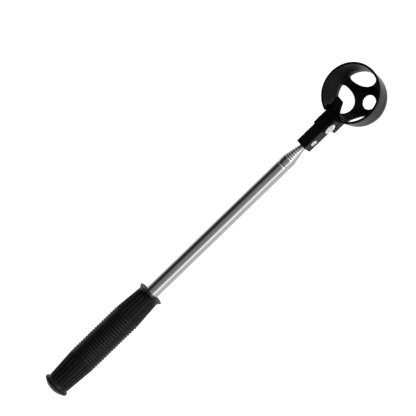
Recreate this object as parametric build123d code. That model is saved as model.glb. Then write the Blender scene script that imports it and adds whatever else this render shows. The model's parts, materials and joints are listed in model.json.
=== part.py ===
from build123d import *
import math
import os

# Telescopic golf ball retriever, in millimetres.
# +X runs along the shaft from the grip to the scoop, and +Z is the way the scoop's mouth faces.
# The origin lies on the shaft's axis, midway along the bare length of the outer tube.

# ---- driving dimensions ------------------------------------------------------------------
BUTT_X = -218.0            # the grip's domed end
GRIP_LENGTH = 131.5
GRIP_BORE_RADIUS = 6.82    # a close fit on the outer tube
SEAT_DEPTH = 73.8          # how deep the outer tube sits in the grip
HOLLOW_RADIUS = 6.2        # of the empty space beyond the seat
HOLLOW_LENGTH = 30.0
FLUTES = 20
FLUTE_RADIUS = 1.25
FLUTE_DEPTH = 0.75
RIB_START = 41.9           # the ribbed middle, from the domed end
RIB_END = 98.9
RIBS = 19
RIB_BASE_RADIUS = 13.15
RIB_HEIGHT = 0.8
RIB_GROOVE = 0.3           # half of the flat between two ribs

SECTIONS = 8
OUTER_TUBE_DIAMETER = 13.6
DIAMETER_STEP = 1.0        # from one section to the next
WALL = 0.3
OUTER_TUBE_TIP = 315.2     # from the grip's domed end
TIP_STEP = 2.4             # how far each closed section stands out of the one around it
CRIMP_X = 306.2            # ring rolled into the outer tube, which stops the next section's clip
CRIMP_HALF_LENGTH = 1.2
CRIMP_DEPTH = 0.3
CRIMP_RISE = 0.15          # how far the same ring stands into the bore
NOSE_LENGTH = 1.1          # length over which each tube's end is rolled in
LIP_LENGTH = 1.2
LIP_CLEARANCE = 0.06
PLUG_LENGTH = 20.0         # the closed sections rest on this plug
PLUG_RADIUS = 6.45
BOTTOM_GAP = 0.3
CLIP_LENGTH = 12.0
CLIP_THICKNESS = 0.15
CLIP_SLIT = 1.0

BLOCK_START = 332.3        # from the grip's domed end
SOCKET_DEPTH = 17.0
BLOCK_WIDTH = 11.7
BLOCK_HALF_HEIGHT = 7.1
BLOCK_RIVET_X = 341.6
BLOCK_RIVET_RADIUS = 1.6
BLOCK_RIVET_HOLE = 1.62
PIVOT_X = 362.2
PIVOT_SHANK_RADIUS = 2.4
PIVOT_HEAD_RADIUS = 5.8
PIVOT_SEAT_RADIUS = 6.5    # shallow seat in the arm's side for the rivet's head
PIVOT_SEAT_DEPTH = 0.5
WASHER_THICKNESS = 0.8
RUNNING_CLEARANCE = 0.08

ARM_WIDTH = 15.2
ARM_TOP = 8.4
ARM_BOTTOM = -11.7
ARM_REACH = 6.6            # how far the arm's top plate reaches back past the pivot
ARM_EDGE = 2.4             # rounding of its long upper edges
CHANNEL_HALF_WIDTH = 6.15
CHANNEL_TOP = 7.4
CHANNEL_EDGE = 1.0
ARM_LIP_FLOOR = 6.0        # underside of the lip that the arm's top plate ends in, at the flap

CUP_X = 400.8              # the cup's axis
RIM_Z = 12.2
EQUATOR_Z = -6.7           # the cup is a cone above this height and a ball shell below it
RIM_RADIUS = 30.05
MOUTH_RADIUS = 27.8
SHELL_RADIUS = 27.8
CUP_WALL = 1.8
RIM_BEAD = 1.7
DRAIN_RADIUS = 7.1         # the round drain hole in the floor
DRAIN_SHIFT = 1.5          # its centre, past the cup's axis
SIDE_DRAIN_SHIFT = 1.0     # the four side drain holes' common centre, past the cup's axis
SIDE_DRAINS = ((48, 14.4), (135, 13.3), (225, 13.3), (312, 14.4))  # direction, inner edge's radius
DRAIN_OUTER = 25.9         # their outer edges' radius, from that centre
DRAIN_HALF_ANGLE = 34.5
DRAIN_CORNER = 2.2

FLAP_X = 376.6             # the flap's hinge line
FLAP_Z = 6.3
FLAP_ANGLE = 36.0          # above the shaft's axis, at rest
FLAP_LENGTH = 18.1
FLAP_THICKNESS = 1.3
FLAP_BASE_HALF_WIDTH = 7.6
FLAP_TIP_HALF_WIDTH = 4.3
FLAP_BARREL_RADIUS = 2.1
FLAP_GAP = 0.3             # between the flap's barrel and the arm's lip
FLAP_PIN_RADIUS = 0.8
NOTCH_HALF_WIDTH = 8.0
RIM_NOTCH_HALF_WIDTH = 6.4 # through the rim, above the arm
EAR_THICKNESS = 2.0
EAR_RADIUS = 1.9
EAR_DEPTH = 3.2            # below the hinge line
EAR_BACK = 2.6             # behind it, into the cup's wall
SPRING_WIRE_RADIUS = 0.2
SPRING_MEAN_RADIUS = 1.15
SPRING_TURNS = 4
SPRING_PITCH = 0.6
SPRING_POCKET_RADIUS = 1.5
SPRING_POCKET_HALF_WIDTH = 2.4

# ---- helpers -----------------------------------------------------------------------------


def at(x):
    """Place along the shaft, given from the grip's domed end."""
    return BUTT_X + x


def turned(edges):
    """Solid of revolution about the shaft's axis, from edges drawn in the XZ plane."""
    return revolve(make_face(edges), Axis.X, 360)


def path(points):
    """Straight edges through points given as (x from the domed end, radius)."""
    return Polyline([(at(x), 0, radius) for x, radius in points])


def arc(start, middle, end):
    """One arc through three points given as (x from the domed end, radius)."""
    return ThreePointArc(*[(at(x), 0, radius) for x, radius in (start, middle, end)])


def rod_x(radius, start, length):
    """Round bar along the shaft's axis."""
    return Pos(at(start) + length / 2, 0, 0) * Rot(0, 90, 0) * Cylinder(radius, length)


def rod_y(radius, x, z, low, high):
    """Round bar across the shaft, from y = low to y = high."""
    return Pos(at(x), (low + high) / 2, z) * Rot(90, 0, 0) * Cylinder(radius, high - low)


def block(low_x, high_x, low_y, high_y, low_z, high_z):
    """Box between two corners, with x from the domed end."""
    middle = Pos(at((low_x + high_x) / 2), (low_y + high_y) / 2, (low_z + high_z) / 2)
    return middle * Box(high_x - low_x, high_y - low_y, high_z - low_z)


def outer_radius(section):
    """Outer radius of one tube, counted from 1 at the handle."""
    return (OUTER_TUBE_DIAMETER - DIAMETER_STEP * (section - 1)) / 2


def tip_of(section):
    """Where one closed tube ends; the last one ends inside the hinge block."""
    if section == SECTIONS:
        return BLOCK_START + SOCKET_DEPTH - 0.3
    return OUTER_TUBE_TIP + TIP_STEP * (section - 1)


def foot_of(section):
    """Where one closed tube starts; the inner ones rest above the plug."""
    seat = GRIP_LENGTH - SEAT_DEPTH
    if section == 1:
        return seat
    return seat + PLUG_LENGTH + BOTTOM_GAP


# ---- handle ------------------------------------------------------------------------------


def flute_ring(start, end, start_radius, end_radius):
    """Round-ended grooves all round a cone, following its slope."""
    slope = math.atan2(end_radius - start_radius, end - start)
    lift = FLUTE_RADIUS - FLUTE_DEPTH
    run = (end - start) / math.cos(slope)
    middle = Pos(at((start + end) / 2), 0, (start_radius + end_radius) / 2 + lift)
    groove = Cylinder(FLUTE_RADIUS, run) + Pos(0, 0, run / 2) * Sphere(FLUTE_RADIUS)
    groove += Pos(0, 0, -run / 2) * Sphere(FLUTE_RADIUS)
    groove = middle * Rot(0, 90 - math.degrees(slope), 0) * groove
    return [groove.rotate(Axis.X, 360 * turn / FLUTES) for turn in range(FLUTES)]


def make_grip():
    """Moulded rubber grip: domed end, two fluted cones, a ribbed middle and a thin flared lip."""
    base = RIB_BASE_RADIUS
    pitch = (RIB_END - RIB_START) / RIBS
    lip = GRIP_LENGTH
    seat = lip - SEAT_DEPTH
    flare = (lip - 4.6, 11.35)
    flare_tip = (lip - 1.1, 13.25)
    lip_front = (lip, 12.9)
    dish = (lip - 1.6, 7.9)
    edges = [arc((0, 0), (1.05, 7.2), (3.5, 11.6))]
    edges += [arc((3.5, 11.6), (5.5, 13.4), (7.9, 11.7)), path([(7.9, 11.7), (8.6, 11.35)])]
    edges += [path([(8.6, 11.35), (RIB_START - 0.6, 13.75), (RIB_START, base)])]
    for rib in range(RIBS):
        low = RIB_START + rib * pitch
        high = low + pitch
        crest = (low + pitch / 2, base + RIB_HEIGHT)
        edges += [path([(low, base), (low + RIB_GROOVE, base)])]
        edges += [arc((low + RIB_GROOVE, base), crest, (high - RIB_GROOVE, base))]
        edges += [path([(high - RIB_GROOVE, base), (high, base)])]
    edges += [path([(RIB_END, base), (RIB_END + 0.6, 13.6), flare])]
    edges += [arc(flare, (lip - 2.5, 12.05), flare_tip), arc(flare_tip, (lip - 0.35, 13.5), lip_front)]
    edges += [arc(lip_front, (lip - 1.3, 10.3), dish)]
    bore = GRIP_BORE_RADIUS
    hollow = seat - HOLLOW_LENGTH
    edges += [path([dish, (lip - 3.0, 7.5), (lip - 3.8, bore), (seat, bore), (seat, HOLLOW_RADIUS)])]
    edges += [path([(seat, HOLLOW_RADIUS), (hollow, HOLLOW_RADIUS), (hollow - 3, 3.0)])]
    edges += [path([(hollow - 3, 3.0), (hollow - 4.5, 0), (0, 0)])]
    grip = turned(edges)
    cutters = flute_ring(10.6, 39.0, 11.5, 13.55) + flute_ring(101.6, lip - 6.2, 13.4, 11.55)
    return grip - cutters


def make_tube(section):
    """Thin steel tube with a rolled-in end that holds the next one captive."""
    outer = outer_radius(section)
    inner = outer - WALL
    foot = foot_of(section)
    tip = tip_of(section)
    if section == SECTIONS:
        tube = rod_x(outer, foot, tip - foot) - rod_x(inner, foot, tip - foot)
        return tube - rod_y(BLOCK_RIVET_HOLE, BLOCK_RIVET_X, 0, -outer - 1, outer + 1)
    lip = outer_radius(section + 1) + LIP_CLEARANCE
    roll = (NOSE_LENGTH ** 2 + (outer - lip) ** 2) / (2 * (outer - lip))
    half_turn = math.asin(NOSE_LENGTH / roll) / 2
    nose = (tip - NOSE_LENGTH, outer)
    bend = (nose[0] + roll * math.sin(half_turn), outer - roll * (1 - math.cos(half_turn)))
    bore_end = (tip - LIP_LENGTH - 0.3, inner)
    edges = [arc(nose, bend, (tip, lip)), path([(tip, lip), (tip - LIP_LENGTH, lip), bore_end])]
    if section == 1:
        low = CRIMP_X - CRIMP_HALF_LENGTH
        high = CRIMP_X + CRIMP_HALF_LENGTH
        edges += [path([bore_end, (high, inner)])]
        edges += [arc((high, inner), (CRIMP_X, inner - CRIMP_RISE), (low, inner))]
        edges += [path([(low, inner), (foot, inner), (foot, outer), (low, outer)])]
        edges += [arc((low, outer), (CRIMP_X, outer - CRIMP_DEPTH), (high, outer))]
        edges += [path([(high, outer), nose])]
    else:
        edges += [path([bore_end, (foot, inner), (foot, outer), nose])]
    return turned(edges)


def make_clip(section):
    """Split brass sleeve at a tube's foot, which rubs inside the tube around it."""
    inner = outer_radius(section)
    foot = foot_of(section)
    sleeve = rod_x(inner + CLIP_THICKNESS, foot, CLIP_LENGTH) - rod_x(inner, foot, CLIP_LENGTH)
    slit = block(foot - 1, foot + CLIP_LENGTH + 1, -CLIP_SLIT / 2, CLIP_SLIT / 2, 0, inner + 2)
    return sleeve - slit


def make_end_plug():
    """Plug that closes the outer tube's foot and stops the closed sections."""
    seat = GRIP_LENGTH - SEAT_DEPTH
    body = rod_x(PLUG_RADIUS, seat, PLUG_LENGTH) + rod_x(HOLLOW_RADIUS - 0.05, seat - 2.5, 2.5)
    return body - rod_x(4.2, seat - 2.5, PLUG_LENGTH)


# ---- hinge block -------------------------------------------------------------------------


def make_hinge_block():
    """Block on the last tube, round at its far end so that the arm can turn on it."""
    half = BLOCK_WIDTH / 2
    body = block(BLOCK_START, PIVOT_X, -half, half, -BLOCK_HALF_HEIGHT, BLOCK_HALF_HEIGHT)
    body = fillet(body.edges().filter_by(Axis.X), 0.7)
    body += rod_y(BLOCK_HALF_HEIGHT, PIVOT_X, 0, -half, half)
    body -= rod_x(outer_radius(SECTIONS) + 0.02, BLOCK_START - 1, SOCKET_DEPTH + 1)
    body -= rod_y(BLOCK_RIVET_HOLE, BLOCK_RIVET_X, 0, -half - 1, half + 1)
    return body - rod_y(PIVOT_SHANK_RADIUS + RUNNING_CLEARANCE, PIVOT_X, 0, -half - 1, half + 1)


def rivet(x, shank_radius, head_radius, head_height, tail_radius, grip_low, grip_high):
    """Rivet across the shaft, with a domed head towards -Y and a formed tail towards +Y."""
    dome = (head_radius ** 2 + head_height ** 2) / (2 * head_height)
    head = Pos(at(x), grip_low - head_height + dome, 0) * Sphere(dome)
    head &= rod_y(head_radius, x, 0, grip_low - head_height - 1, grip_low)
    tail_height = tail_radius * 0.3
    tail_dome = (tail_radius ** 2 + tail_height ** 2) / (2 * tail_height)
    tail = Pos(at(x), grip_high + tail_height - tail_dome, 0) * Sphere(tail_dome)
    tail &= rod_y(tail_radius, x, 0, grip_high, grip_high + tail_height + 1)
    return head + rod_y(shank_radius, x, 0, grip_low - 0.1, grip_high + 0.1) + tail


def make_block_rivet():
    """Hollow rivet that fastens the hinge block to the last tube."""
    half = BLOCK_WIDTH / 2
    whole = rivet(BLOCK_RIVET_X, BLOCK_RIVET_RADIUS, head_radius=3.4, head_height=0.8,
                  tail_radius=2.7, grip_low=-half, grip_high=half)
    return whole - rod_y(0.9, BLOCK_RIVET_X, 0, -half - 1, -half + 2)


def make_pivot_washer():
    """Washer under the pivot rivet's formed tail."""
    half = ARM_WIDTH / 2
    ring = rod_y(5.2, PIVOT_X, 0, half, half + WASHER_THICKNESS)
    return ring - rod_y(PIVOT_SHANK_RADIUS + 0.02, PIVOT_X, 0, half - 1, half + 2)


def make_pivot_rivet():
    """Large rivet that the arm turns on."""
    half = ARM_WIDTH / 2
    return rivet(PIVOT_X, PIVOT_SHANK_RADIUS, head_radius=PIVOT_HEAD_RADIUS, head_height=1.7,
                 tail_radius=3.9, grip_low=PIVOT_SEAT_DEPTH - half, grip_high=half + WASHER_THICKNESS)


# ---- scoop -------------------------------------------------------------------------------


def make_cup():
    """Open cup: flared wall with a beaded rim above a ball-shaped floor with drain holes."""
    inner = SHELL_RADIUS - CUP_WALL
    slant = math.radians(45)
    top = RIM_Z
    shoulder = top - RIM_BEAD
    wall_top = RIM_RADIUS - 0.55
    pole = (0, 0, EQUATOR_Z - SHELL_RADIUS)
    inner_pole = (0, 0, EQUATOR_Z - inner)
    middle = (SHELL_RADIUS * math.cos(slant), 0, EQUATOR_Z - SHELL_RADIUS * math.sin(slant))
    inner_middle = (inner * math.cos(slant), 0, EQUATOR_Z - inner * math.sin(slant))
    edges = [ThreePointArc(pole, middle, (SHELL_RADIUS, 0, EQUATOR_Z))]
    edges += [Polyline((SHELL_RADIUS, 0, EQUATOR_Z), (wall_top, 0, shoulder - 0.3),
                       (RIM_RADIUS, 0, shoulder), (RIM_RADIUS, 0, top - 0.6))]
    edges += [ThreePointArc((RIM_RADIUS, 0, top - 0.6), (RIM_RADIUS - 0.18, 0, top - 0.18),
                            (RIM_RADIUS - 0.6, 0, top))]
    edges += [Polyline((RIM_RADIUS - 0.6, 0, top), (MOUTH_RADIUS + 0.5, 0, top))]
    edges += [ThreePointArc((MOUTH_RADIUS + 0.5, 0, top), (MOUTH_RADIUS + 0.15, 0, top - 0.15),
                            (MOUTH_RADIUS, 0, top - 0.5))]
    edges += [Polyline((MOUTH_RADIUS, 0, top - 0.5), (inner, 0, EQUATOR_Z))]
    edges += [ThreePointArc((inner, 0, EQUATOR_Z), inner_middle, inner_pole)]
    edges += [Polyline(inner_pole, pole)]
    return revolve(make_face(edges), Axis.Z, 360)


def cup_space():
    """Everything inside the cup's inner surface, up past the rim."""
    inner = SHELL_RADIUS - CUP_WALL
    slant = math.radians(45)
    bottom = (0, 0, EQUATOR_Z - inner)
    middle = (inner * math.cos(slant), 0, EQUATOR_Z - inner * math.sin(slant))
    edges = [ThreePointArc(bottom, middle, (inner, 0, EQUATOR_Z))]
    edges += [Polyline((inner, 0, EQUATOR_Z), (MOUTH_RADIUS, 0, RIM_Z - 0.5),
                       (MOUTH_RADIUS, 0, RIM_Z + 20), (0, 0, RIM_Z + 20), bottom)]
    return revolve(make_face(edges), Axis.Z, 360)


def make_side_drain(inner_radius):
    """One lens-shaped drain hole, as a tall plug to cut with."""
    half = math.radians(DRAIN_HALF_ANGLE)
    low = (DRAIN_OUTER * math.cos(half), -DRAIN_OUTER * math.sin(half))
    high = (low[0], -low[1])
    edges = [ThreePointArc(low, (DRAIN_OUTER, 0), high), ThreePointArc(high, (inner_radius, 0), low)]
    outline = make_face(edges)
    outline = fillet(outline.vertices(), DRAIN_CORNER)
    return extrude(outline, 2 * SHELL_RADIUS, dir=(0, 0, -1))


def make_arm():
    """Channel-shaped arm, open underneath, from the pivot to the flap's hinge."""
    half = ARM_WIDTH / 2
    back = PIVOT_X - ARM_REACH
    foot = PIVOT_X - 1.2
    root = CUP_X - 20
    outline = Polyline((at(back), 0, ARM_TOP), (at(back), 0, 2.5), (at(foot), 0, -6.5),
                       (at(foot), 0, ARM_BOTTOM), (at(root), 0, ARM_BOTTOM),
                       (at(root), 0, ARM_LIP_FLOOR), (at(FLAP_X), 0, ARM_LIP_FLOOR),
                       (at(FLAP_X), 0, ARM_TOP), close=True)
    arm = extrude(make_face(outline), half, dir=(0, 1, 0), both=True)
    arm = fillet(arm.edges().filter_by(Axis.X).group_by(Axis.Z)[-1], ARM_EDGE)
    channel_end = CUP_X - SHELL_RADIUS
    channel = block(back - 1, channel_end, -CHANNEL_HALF_WIDTH, CHANNEL_HALF_WIDTH, -20, CHANNEL_TOP)
    return arm - fillet(channel.edges().filter_by(Axis.X).group_by(Axis.Z)[-1], CHANNEL_EDGE)


def make_ears():
    """Two ears beside the notch, which hold the flap's pin."""
    ears = []
    floor = FLAP_Z - EAR_DEPTH
    back = FLAP_X - EAR_BACK
    for low in (-NOTCH_HALF_WIDTH - EAR_THICKNESS, NOTCH_HALF_WIDTH):
        high = low + EAR_THICKNESS
        ear = block(back, FLAP_X, low, high, floor, FLAP_Z + EAR_RADIUS)
        ear += block(back, FLAP_X + EAR_RADIUS, low, high, floor, FLAP_Z)
        ears.append(ear + rod_y(EAR_RADIUS, FLAP_X, FLAP_Z, low, high))
    return ears


def make_scoop():
    """Cup, arm and the flap's ears, moulded in one."""
    cup_place = Pos(at(CUP_X), 0, 0)
    reach = RIM_RADIUS + 1
    below_lip = block(CUP_X - reach, CUP_X + reach, -reach, reach, -50, ARM_LIP_FLOOR)
    arm = make_arm() - (cup_place * cup_space() & below_lip)
    scoop = cup_place * make_cup() + arm + make_ears()
    round_place = Pos(at(CUP_X + DRAIN_SHIFT), 0, EQUATOR_Z - SHELL_RADIUS)
    scoop -= round_place * Cylinder(DRAIN_RADIUS, SHELL_RADIUS)
    side_place = Pos(at(CUP_X + SIDE_DRAIN_SHIFT), 0, EQUATOR_Z)
    scoop -= [side_place * Rot(0, 0, turn) * make_side_drain(inner) for turn, inner in SIDE_DRAINS]
    wide = NOTCH_HALF_WIDTH
    scoop -= rod_y(FLAP_BARREL_RADIUS + FLAP_GAP, FLAP_X, FLAP_Z, -wide, wide)
    scoop -= block(FLAP_X - 2.4, FLAP_X + 2, -wide, wide, ARM_TOP, RIM_Z + 1)
    narrow = RIM_NOTCH_HALF_WIDTH
    scoop -= block(CUP_X - reach, FLAP_X, -narrow, narrow, ARM_TOP, RIM_Z + 1)
    side = -ARM_WIDTH / 2
    scoop -= rod_y(PIVOT_SEAT_RADIUS, PIVOT_X, 0, side - 1, side + PIVOT_SEAT_DEPTH)
    scoop -= rod_y(PIVOT_SHANK_RADIUS + 0.02, PIVOT_X, 0, -ARM_WIDTH, ARM_WIDTH)
    return scoop - rod_y(FLAP_PIN_RADIUS + 0.02, FLAP_X, FLAP_Z, -12, 12)


# ---- flap --------------------------------------------------------------------------------


def make_flap():
    """One-way tongue over the mouth: it folds into the cup and springs back."""
    plate = Polygon([(0, -FLAP_BASE_HALF_WIDTH), (FLAP_LENGTH, -FLAP_TIP_HALF_WIDTH),
                     (FLAP_LENGTH, FLAP_TIP_HALF_WIDTH), (0, FLAP_BASE_HALF_WIDTH)], align=None)
    plate = fillet(plate.vertices().sort_by(Axis.X)[-2:], 1.0)
    flap = Pos(0, 0, FLAP_BARREL_RADIUS - FLAP_THICKNESS) * extrude(plate, FLAP_THICKNESS)
    flap += Rot(90, 0, 0) * Cylinder(FLAP_BARREL_RADIUS, 2 * FLAP_BASE_HALF_WIDTH)
    flap -= Rot(90, 0, 0) * Cylinder(SPRING_POCKET_RADIUS, 2 * SPRING_POCKET_HALF_WIDTH)
    mouth = Box(2 * SPRING_POCKET_RADIUS, 2 * SPRING_POCKET_HALF_WIDTH, FLAP_BARREL_RADIUS)
    flap -= Pos(0, 0, -FLAP_BARREL_RADIUS / 2) * mouth
    flap -= Rot(90, 0, 0) * Cylinder(FLAP_PIN_RADIUS + RUNNING_CLEARANCE, 30)
    return Pos(at(FLAP_X), 0, FLAP_Z) * Rot(0, -FLAP_ANGLE, 0) * flap


def make_flap_pin():
    """Steel pin through both ears."""
    end = NOTCH_HALF_WIDTH + EAR_THICKNESS + 0.2
    return rod_y(FLAP_PIN_RADIUS, FLAP_X, FLAP_Z, -end, end)


def make_flap_spring():
    """Torsion spring round the pin, in the pocket on the flap's underside."""
    length = SPRING_TURNS * SPRING_PITCH
    helix = Helix(SPRING_PITCH, length, SPRING_MEAN_RADIUS)
    section = Plane(origin=helix @ 0, z_dir=helix % 0) * Circle(SPRING_WIRE_RADIUS)
    coil = sweep(section, path=helix)
    return Pos(at(FLAP_X), length / 2, FLAP_Z) * Rot(90, 0, 0) * coil


# ---- write every piece -------------------------------------------------------------------

os.makedirs("parts", exist_ok=True)
pieces = {
    "grip": make_grip(),
    "end_plug": make_end_plug(),
    "hinge_block": make_hinge_block(),
    "block_rivet": make_block_rivet(),
    "scoop": make_scoop(),
    "pivot_rivet": make_pivot_rivet(),
    "pivot_washer": make_pivot_washer(),
    "flap": make_flap(),
    "flap_pin": make_flap_pin(),
    "flap_spring": make_flap_spring(),
}
for number in range(1, SECTIONS + 1):
    pieces[f"tube_{number}"] = make_tube(number)
for number in range(2, SECTIONS + 1):
    pieces[f"friction_clip_{number}"] = make_clip(number)
for name, piece in pieces.items():
    export_step(piece, f"parts/{name}.step")
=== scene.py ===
"""Looks for a telescopic golf ball retriever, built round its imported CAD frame."""

import json
import math

import bpy
from mathutils import Matrix, Vector


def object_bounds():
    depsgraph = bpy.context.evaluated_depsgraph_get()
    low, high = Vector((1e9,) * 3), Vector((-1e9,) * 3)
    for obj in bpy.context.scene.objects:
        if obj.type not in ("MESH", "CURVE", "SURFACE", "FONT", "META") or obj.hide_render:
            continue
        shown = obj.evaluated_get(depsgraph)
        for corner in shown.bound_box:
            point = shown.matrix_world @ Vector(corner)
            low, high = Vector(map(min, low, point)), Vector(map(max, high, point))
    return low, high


MM = 0.001

# ---- camera: a very long lens, almost without perspective ------------------------------------
SHAFT_ANGLE = math.radians(44.07)      # the shaft's direction in the picture, above the horizontal
SHAFT_TILT = math.radians(8.0)         # the scoop's end leans towards the camera
ROLL = math.radians(25.0)              # how far the mouth is rolled away from facing the camera
LENS = 1000.0
SENSOR = 36.0
VIEW_WIDTH = 0.391                     # what the picture spans at the shaft
AIM_ALONG = 0.0086                     # the picture's centre, along the shaft from the origin
AIM_ACROSS = 0.02045                   # and across it, towards the picture's upper left
CLIP_START = 0.1
CLIP_END = 50.0

# ---- light -----------------------------------------------------------------------------------
# Brightness of the surroundings round the shaft, by the angle in degrees from straight up,
# positive towards -Y: a long soft box on one side, and a dark wall on the other.
STUDIO = ((-90, 0.50), (-76, 0.30), (-66, 0.06), (-30, 0.04), (-20, 0.10), (-4, 0.44), (8, 0.49),
          (28, 0.44), (44, 0.72), (55, 1.30), (60, 2.50), (80, 2.50), (86, 0.80), (90, 0.50))
STUDIO_PEAK = 2.5
SCOOP_SIDE = (0.28, 0.50)              # X of the directions over which the scoop's end brightens
SCOOP_END = 3.5                        # how much brighter it gets there
SCOOP_HAZE = 0.05                      # even light added there
GRIP_SIDE = (-0.30, -0.60)             # X of the directions over which the grip's end darkens
GRIP_END = 0.35                        # what is left of the light there
FLOOR_SIZE = 40.0
FLOOR_DROP = 0.037                     # below the closed retriever, so that the scoop can fold down
FLOOR_GLOW = 0.93
FLOOR_COLOUR = (0.30, 0.30, 0.30, 1.0)


def picture_axes():
    """The picture's right, up and towards-the-camera directions, in the row frame."""
    along = Vector((math.cos(SHAFT_ANGLE), math.sin(SHAFT_ANGLE), 0.0))
    across = Vector((math.sin(SHAFT_ANGLE), -math.cos(SHAFT_ANGLE), 0.0))
    towards = Vector((0.0, 0.0, 1.0))
    shaft = along * math.cos(SHAFT_TILT) + towards * math.sin(SHAFT_TILT)
    lean = towards * math.cos(SHAFT_TILT) - along * math.sin(SHAFT_TILT)
    side = across * math.cos(ROLL) + lean * math.sin(ROLL)
    mouth = lean * math.cos(ROLL) - across * math.sin(ROLL)
    columns = Matrix((shaft, -side, mouth))
    right = columns @ Vector((1.0, 0.0, 0.0))
    up = columns @ Vector((0.0, 1.0, 0.0))
    back = columns @ towards
    return right, up, back


def make_camera():
    """Camera far off on a very long lens, aimed at the middle of the picture."""
    right, up, back = picture_axes()
    across = up * math.cos(SHAFT_ANGLE) - right * math.sin(SHAFT_ANGLE)
    aim = Vector((AIM_ALONG, 0.0, 0.0)) + across * AIM_ACROSS
    distance = VIEW_WIDTH * LENS / SENSOR
    data = bpy.data.cameras.new("camera")
    data.lens = LENS
    data.sensor_width = SENSOR
    data.clip_start = CLIP_START
    data.clip_end = CLIP_END
    camera = bpy.data.objects.new("camera", data)
    bpy.context.scene.collection.objects.link(camera)
    turn = Matrix((right, up, back)).transposed().to_4x4()
    camera.matrix_world = Matrix.Translation(aim + back * distance) @ turn
    bpy.context.scene.camera = camera


# ---- node helpers ----------------------------------------------------------------------------


def add(tree, kind, inputs=None, **settings):
    """New node with its settings, and its inputs given as values or as other nodes' outputs."""
    node = tree.nodes.new(kind)
    for name, value in settings.items():
        setattr(node, name, value)
    for name, value in (inputs or {}).items():
        if isinstance(value, bpy.types.NodeSocket):
            tree.links.new(value, node.inputs[name])
        else:
            node.inputs[name].default_value = value
    return node


def math_node(tree, operation, first, second=0.0):
    """Output of one Math node."""
    return add(tree, "ShaderNodeMath", {0: first, 1: second}, operation=operation).outputs[0]


def ramp(tree, value, low, high, to_low=0.0, to_high=1.0, shape="SMOOTHSTEP"):
    """Value mapped from one range to another, and held at the ends."""
    inputs = {"Value": value, "From Min": low, "From Max": high,
              "To Min": to_low, "To Max": to_high}
    return add(tree, "ShaderNodeMapRange", inputs, interpolation_type=shape).outputs["Result"]


def place(tree, size, stretch=(1.0, 1.0, 1.0)):
    """Coordinates on the object in units of size, stretched along the axes."""
    where = add(tree, "ShaderNodeTexCoord").outputs["Object"]
    scale = tuple(1.0 / (size * factor) for factor in stretch)
    return add(tree, "ShaderNodeVectorMath", {0: where, 1: scale}, operation="MULTIPLY").outputs[0]


def noise(tree, size, stretch=(1.0, 1.0, 1.0), detail=2.0, rough=0.5):
    """Noise with features of one size, in metres."""
    inputs = {"Vector": place(tree, size, stretch), "Scale": 1.0,
              "Detail": detail, "Roughness": rough}
    return add(tree, "ShaderNodeTexNoise", inputs).outputs["Fac"]


def mix(tree, factor, first, second):
    """Colour between two others."""
    node = add(tree, "ShaderNodeMix", {0: factor}, data_type="RGBA")
    for socket, value in ((node.inputs[6], first), (node.inputs[7], second)):
        if isinstance(value, bpy.types.NodeSocket):
            tree.links.new(value, socket)
        else:
            socket.default_value = (*value, 1.0)
    return node.outputs[2]


def bumps(tree, shader, layers):
    """Chain of Bump nodes, from (height, depth in metres, strength)."""
    normal = None
    for height, depth, strength in layers:
        inputs = {"Height": height, "Distance": depth, "Strength": strength}
        if normal:
            inputs["Normal"] = normal
        normal = add(tree, "ShaderNodeBump", inputs).outputs["Normal"]
    tree.links.new(normal, shader.inputs["Normal"])


def new_material(name, **sockets):
    """Material with a Principled shader whose constant sockets are set directly."""
    material = bpy.data.materials.new(name)
    material.use_nodes = True
    tree = material.node_tree
    shader = tree.nodes["Principled BSDF"]
    for socket, value in sockets.items():
        shader.inputs[socket.replace("_", " ")].default_value = value
    return material, tree, shader


def feed(tree, shader, **sockets):
    """Link computed values to the shader's sockets."""
    for socket, value in sockets.items():
        tree.links.new(value, shader.inputs[socket.replace("_", " ")])


def edge_wear_and_sheen(tree, radius):
    """Mask that is 1 on sharp edges and 0 elsewhere, from the difference a small bevel makes; it
    places a painted edge sheen that also stands for slight wear.
    """
    rounded = add(tree, "ShaderNodeBevel", {"Radius": radius}, samples=4).outputs["Normal"]
    real = add(tree, "ShaderNodeNewGeometry").outputs["Normal"]
    likeness = add(tree, "ShaderNodeVectorMath", {0: rounded, 1: real}, operation="DOT_PRODUCT")
    return ramp(tree, likeness.outputs["Value"], 0.99, 0.85)


# ---- materials -------------------------------------------------------------------------------


def grip_rubber():
    """Black moulded rubber: satin, finely stippled, with a faint parting line along each side."""
    material, tree, shader = new_material("grip_rubber_look", Specular_IOR_Level=0.11)
    patches = noise(tree, 14 * MM, detail=3.0)
    stipple = noise(tree, 0.42 * MM, detail=1.0)
    dust = noise(tree, 2.2 * MM, detail=4.0, rough=0.65)
    dusty = ramp(tree, dust, 0.52, 0.80)
    edge_sheen_and_wear = edge_wear_and_sheen(tree, 0.5 * MM)
    colour = mix(tree, patches, (0.0018, 0.0018, 0.0019), (0.0042, 0.0042, 0.0043))
    colour = mix(tree, math_node(tree, "MULTIPLY", dusty, 0.22), colour, (0.030, 0.030, 0.029))
    # Paler sharp edges: a painted highlight along the edges, also standing for slight edge wear.
    colour = mix(tree, math_node(tree, "MULTIPLY", edge_sheen_and_wear, 0.35), colour, (0.020, 0.020, 0.020))
    height = add(tree, "ShaderNodeSeparateXYZ", {0: place(tree, MM)}).outputs["Z"]
    seam = ramp(tree, math_node(tree, "ABSOLUTE", height), 0.16, 0.05)
    roughness = ramp(tree, patches, 0.3, 0.7, 0.33, 0.43)
    roughness = math_node(tree, "ADD", roughness, math_node(tree, "MULTIPLY", dusty, 0.12))
    feed(tree, shader, Base_Color=colour, Roughness=roughness)
    bumps(tree, shader, ((stipple, 0.05 * MM, 0.35), (dust, 0.05 * MM, 0.20),
                         (seam, 0.06 * MM, 0.5)))
    return material


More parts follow.
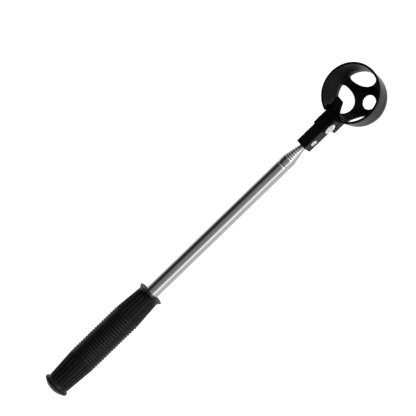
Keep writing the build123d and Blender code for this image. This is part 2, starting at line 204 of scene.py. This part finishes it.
def steel_tube():
    """Bright drawn stainless tube: lengthwise polishing lines, faint smears and rubbed rings."""
    material, tree, shader = new_material("steel_tube_look", Metallic=1.0)
    lines = noise(tree, 0.35 * MM, stretch=(90.0, 1.0, 1.0), detail=3.0)
    fine = noise(tree, 0.12 * MM, stretch=(160.0, 1.0, 1.0), detail=1.0)
    smears = noise(tree, 16 * MM, stretch=(2.2, 1.0, 1.0), detail=3.0, rough=0.6)
    rings = noise(tree, 0.5 * MM, stretch=(1.0, 40.0, 40.0), detail=2.0)
    colour = mix(tree, smears, (0.34, 0.34, 0.345), (0.40, 0.40, 0.405))
    colour = mix(tree, ramp(tree, lines, 0.35, 0.70, 0.0, 0.30), colour, (0.29, 0.29, 0.295))
    roughness = ramp(tree, smears, 0.30, 0.72, 0.095, 0.17)
    roughness = math_node(tree, "ADD", roughness, ramp(tree, lines, 0.4, 0.75, 0.0, 0.06))
    roughness = math_node(tree, "ADD", roughness, ramp(tree, rings, 0.55, 0.80, 0.0, 0.05))
    feed(tree, shader, Base_Color=colour, Roughness=roughness)
    bumps(tree, shader, ((lines, 0.012 * MM, 0.35), (fine, 0.004 * MM, 0.30),
                         (rings, 0.006 * MM, 0.2)))
    return material


def moulded_black(name, grain, gloss, shine):
    """Black moulded plastic: fine spark-eroded grain, soft flow marks, scuffs, and paler edges that
    are a painted sheen, also standing for slight wear.
    """
    material, tree, shader = new_material(name, Specular_IOR_Level=shine)
    flow = noise(tree, 11 * MM, stretch=(1.0, 1.6, 1.0), detail=2.0)
    texture = noise(tree, grain, detail=2.0)
    scuffs = noise(tree, 0.8 * MM, stretch=(7.0, 1.0, 2.0), detail=3.0, rough=0.6)
    scuffed = ramp(tree, scuffs, 0.64, 0.80)
    edge_sheen_and_wear = edge_wear_and_sheen(tree, 0.3 * MM)
    colour = mix(tree, flow, (0.0014, 0.0014, 0.0015), (0.0030, 0.0030, 0.0031))
    colour = mix(tree, math_node(tree, "MULTIPLY", scuffed, 0.25), colour, (0.026, 0.026, 0.026))
    # Paler sharp edges: a painted highlight along the edges, also standing for slight edge wear.
    colour = mix(tree, math_node(tree, "MULTIPLY", edge_sheen_and_wear, 0.30), colour, (0.020, 0.020, 0.020))
    roughness = ramp(tree, flow, 0.3, 0.7, gloss, gloss + 0.08)
    roughness = math_node(tree, "ADD", roughness, math_node(tree, "MULTIPLY", scuffed, 0.14))
    feed(tree, shader, Base_Color=colour, Roughness=roughness)
    bumps(tree, shader, ((texture, 0.03 * MM, 0.35), (flow, 0.20 * MM, 0.10)))
    return material


def rivet_steel():
    """Pressed bright steel, mottled by the punch."""
    material, tree, shader = new_material("rivet_steel_look", Metallic=1.0)
    dents = noise(tree, 1.7 * MM, detail=3.0, rough=0.6)
    grain = noise(tree, 0.25 * MM, detail=2.0)
    colour = mix(tree, ramp(tree, dents, 0.3, 0.7), (0.38, 0.38, 0.38), (0.74, 0.74, 0.74))
    roughness = ramp(tree, dents, 0.3, 0.7, 0.20, 0.36)
    feed(tree, shader, Base_Color=colour, Roughness=roughness)
    bumps(tree, shader, ((dents, 0.16 * MM, 0.5), (grain, 0.02 * MM, 0.4)))
    return material


def clip_brass():
    """Half-hard brass strip, a little tarnished, with rolling lines."""
    material, tree, shader = new_material("clip_brass_look", Metallic=1.0)
    tarnish = noise(tree, 4 * MM, detail=4.0, rough=0.6)
    rolling = noise(tree, 0.2 * MM, stretch=(1.0, 30.0, 30.0), detail=2.0)
    colour = mix(tree, ramp(tree, tarnish, 0.35, 0.75), (0.70, 0.50, 0.20), (0.42, 0.27, 0.11))
    feed(tree, shader, Base_Color=colour, Roughness=ramp(tree, tarnish, 0.3, 0.7, 0.24, 0.42))
    bumps(tree, shader, ((rolling, 0.01 * MM, 0.4),))
    return material


def plug_plastic():
    """Natural nylon: off-white and waxy, with flow marks."""
    material, tree, shader = new_material("plug_plastic_look", Subsurface_Weight=0.1)
    flow = noise(tree, 5 * MM, detail=3.0)
    grain = noise(tree, 0.4 * MM, detail=2.0)
    colour = mix(tree, flow, (0.66, 0.65, 0.60), (0.76, 0.75, 0.71))
    feed(tree, shader, Base_Color=colour, Roughness=ramp(tree, flow, 0.3, 0.7, 0.38, 0.52))
    bumps(tree, shader, ((grain, 0.02 * MM, 0.4),))
    return material


def dress(frame):
    """Give every CAD node the material of its slot in the record."""
    looks = {
        "grip_rubber": grip_rubber(),
        "steel_tube": steel_tube(),
        "clip_brass": clip_brass(),
        "plug_plastic": plug_plastic(),
        "block_plastic": moulded_black("block_plastic_look", grain=0.30 * MM, gloss=0.34,
                                       shine=0.08),
        "scoop_plastic": moulded_black("scoop_plastic_look", grain=0.38 * MM, gloss=0.28,
                                       shine=0.05),
        "rivet_steel": rivet_steel(),
    }
    for subpart in frame["record"]["subparts"]:
        node = frame["nodes"][subpart["node"]]
        for slot in node.material_slots:
            slot.material = looks[subpart["material_slot"]]


# ---- studio ----------------------------------------------------------------------------------


def make_world():
    """Soft studio round the shaft, brighter beyond the scoop and darker beyond the grip."""
    world = bpy.data.worlds.new("studio")
    bpy.context.scene.world = world
    world.use_nodes = True
    tree = world.node_tree
    direction = add(tree, "ShaderNodeTexCoord").outputs["Generated"]
    part = add(tree, "ShaderNodeSeparateXYZ", {0: direction}).outputs
    sideways = math_node(tree, "MULTIPLY", part["Y"], -1.0)
    angle = math_node(tree, "ARCTAN2", sideways, part["Z"])
    turn = ramp(tree, angle, -math.pi, math.pi, shape="LINEAR")
    band = add(tree, "ShaderNodeValToRGB", {0: turn})
    stops = band.color_ramp.elements
    stops.remove(stops[1])
    for number, (degrees, level) in enumerate(STUDIO):
        position = 0.5 + degrees / 360.0
        stop = stops.new(position) if number else stops[0]
        stop.position = position
        stop.color = (*[level / STUDIO_PEAK] * 3, 1.0)
    brighter = ramp(tree, part["X"], *SCOOP_SIDE, 1.0, SCOOP_END)
    darker = ramp(tree, part["X"], *GRIP_SIDE, STUDIO_PEAK, STUDIO_PEAK * GRIP_END)
    haze = ramp(tree, part["X"], *SCOOP_SIDE, 0.0, SCOOP_HAZE)
    colour = mix(tree, haze, band.outputs["Color"], (1.0, 1.0, 1.0))
    background = tree.nodes["Background"]
    tree.links.new(colour, background.inputs["Color"])
    tree.links.new(math_node(tree, "MULTIPLY", brighter, darker), background.inputs["Strength"])


def make_floor(low):
    """Plain pale floor, evenly lit, below everything that the scoop reaches."""
    bpy.ops.mesh.primitive_plane_add(size=FLOOR_SIZE, location=(0.0, 0.0, low - FLOOR_DROP))
    floor = bpy.context.object
    floor.name = "floor"
    material, tree, shader = new_material("floor", Base_Color=FLOOR_COLOUR, Roughness=0.9,
                                          Specular_IOR_Level=0.0, Emission_Strength=FLOOR_GLOW,
                                          Emission_Color=(1.0, 1.0, 1.0, 1.0))
    floor.data.materials.append(material)


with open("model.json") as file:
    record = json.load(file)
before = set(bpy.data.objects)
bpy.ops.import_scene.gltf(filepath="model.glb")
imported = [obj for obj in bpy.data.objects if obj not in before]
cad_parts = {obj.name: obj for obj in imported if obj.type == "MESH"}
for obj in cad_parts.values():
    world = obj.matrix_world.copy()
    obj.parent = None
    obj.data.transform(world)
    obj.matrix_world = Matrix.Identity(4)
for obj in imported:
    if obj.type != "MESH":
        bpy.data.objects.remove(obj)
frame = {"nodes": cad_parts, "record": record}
cad_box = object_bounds()
make_camera()
dress(frame)
make_world()
make_floor(cad_box[0].z)
bpy.context.scene.view_settings.view_transform = "Standard"
